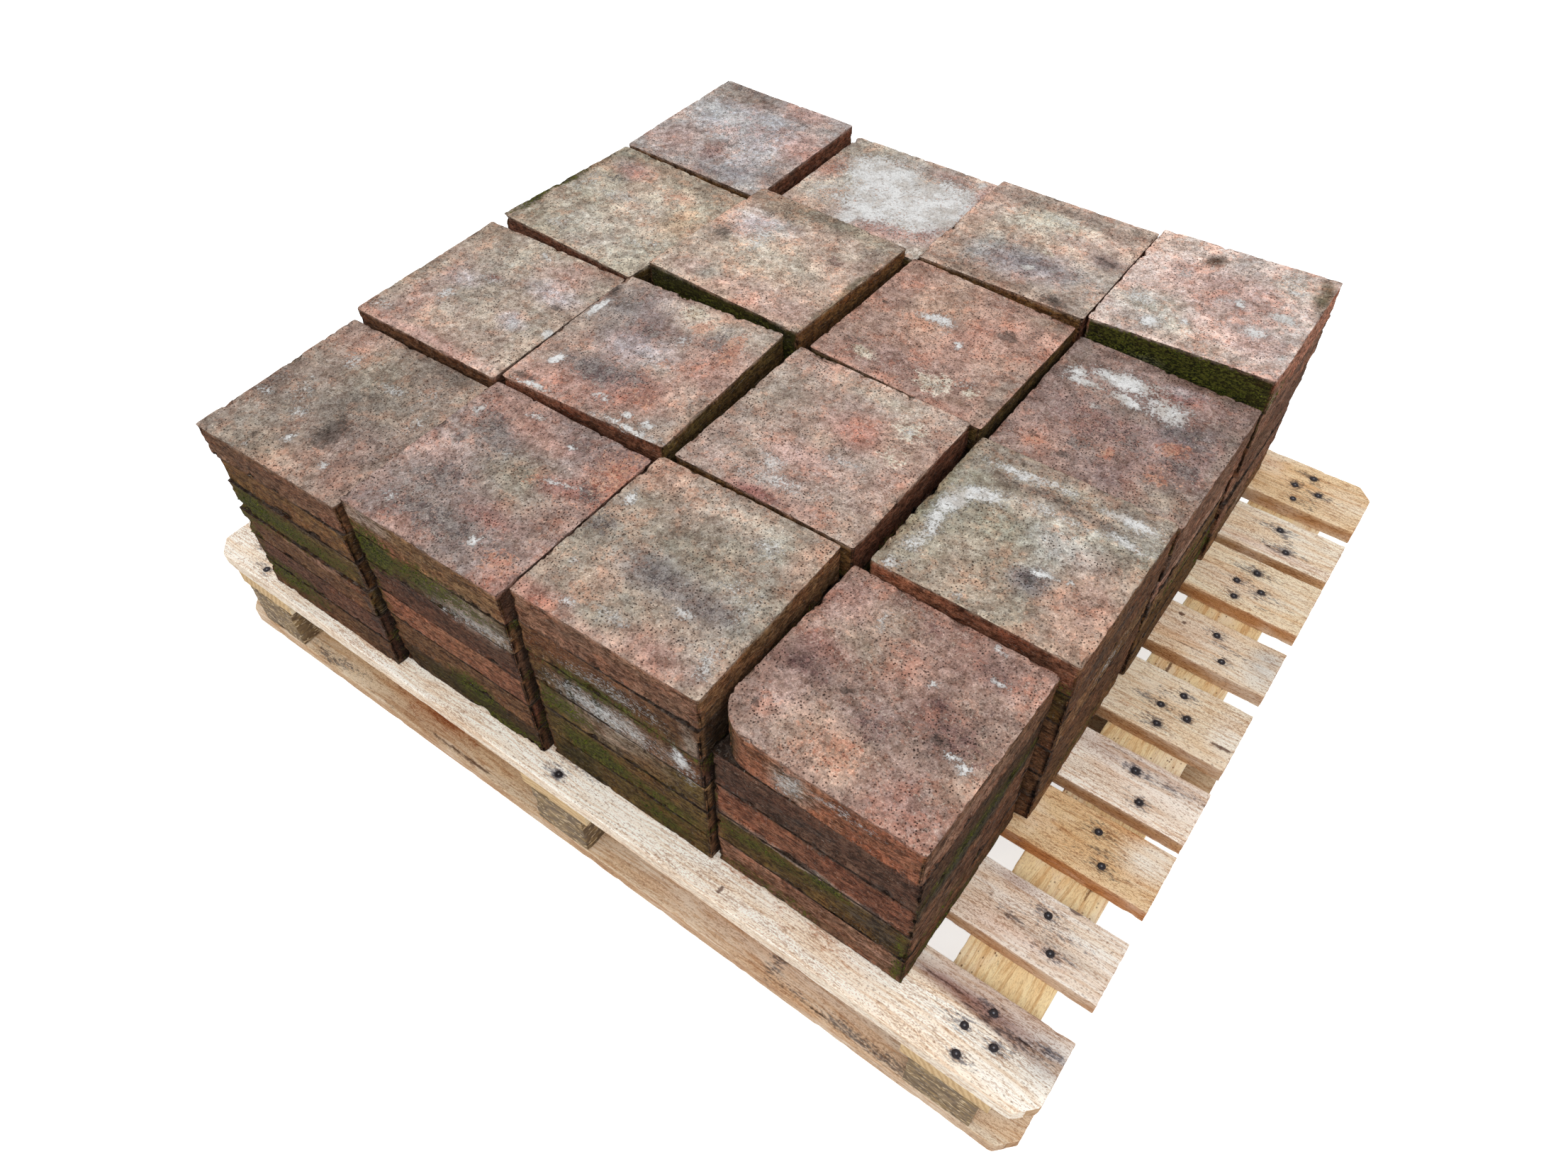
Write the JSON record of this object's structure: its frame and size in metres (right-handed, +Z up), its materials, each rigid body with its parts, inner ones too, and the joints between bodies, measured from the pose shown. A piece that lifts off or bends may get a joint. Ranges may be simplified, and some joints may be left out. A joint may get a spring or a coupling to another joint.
{
  "type": "pallet of quarry tiles",
  "caption": "Wooden pallet with a load of old, thick, unglazed square clay floor tiles in close stacks, their faces worn, pitted, mossy and spotted with lime.",
  "frame": {"origin": "on the floor under the middle of the pallet", "axes": "+X runs along the deck boards to the right, +Y runs across them from front to back, and +Z is up"},
  "size_m": [1.2, 1, 0.4444],
  "materials": {
    "quarry_tile": "worn unglazed fired clay, with moss and lime on it",
    "deck_timber": "rough sawn softwood",
    "stringer_timber": "rough sawn softwood",
    "pressed_block": "pressed wood chips",
    "bottom_timber": "rough sawn softwood, stained by damp",
    "nail_steel": "dull, weathered"
  },
  "bodies": {
    "root": {"deck_board_1": "deck_timber", "deck_board_2": "deck_timber", "deck_board_3": "deck_timber", "deck_board_4": "deck_timber", "deck_board_5": "deck_timber", "deck_board_6": "deck_timber", "deck_board_7": "deck_timber", "deck_board_8": "deck_timber", "deck_board_9": "deck_timber", "stringer_left": "stringer_timber", "stringer_middle": "stringer_timber", "stringer_right": "stringer_timber", "block_front_left": "pressed_block", "block_front_middle": "pressed_block", "block_front_right": "pressed_block", "block_middle_left": "pressed_block", "block_middle_middle": "pressed_block", "block_middle_right": "pressed_block", "block_back_left": "pressed_block", "block_back_middle": "pressed_block", "block_back_right": "pressed_block", "bottom_board_front": "bottom_timber", "bottom_board_middle": "bottom_timber", "bottom_board_back": "bottom_timber", "nail_heads": "nail_steel", "tile_stack_a1": "quarry_tile", "tile_stack_a2": "quarry_tile", "tile_stack_a3": "quarry_tile", "tile_stack_a4": "quarry_tile", "tile_stack_b1": "quarry_tile", "tile_stack_b2": "quarry_tile", "tile_stack_b3": "quarry_tile", "tile_stack_b4": "quarry_tile", "tile_stack_c1": "quarry_tile", "tile_stack_c2": "quarry_tile", "tile_stack_c3": "quarry_tile", "tile_stack_c4": "quarry_tile", "tile_stack_d1": "quarry_tile", "tile_stack_d2": "quarry_tile", "tile_stack_d3": "quarry_tile", "tile_stack_d4": "quarry_tile"}
  },
  "joints": []
}
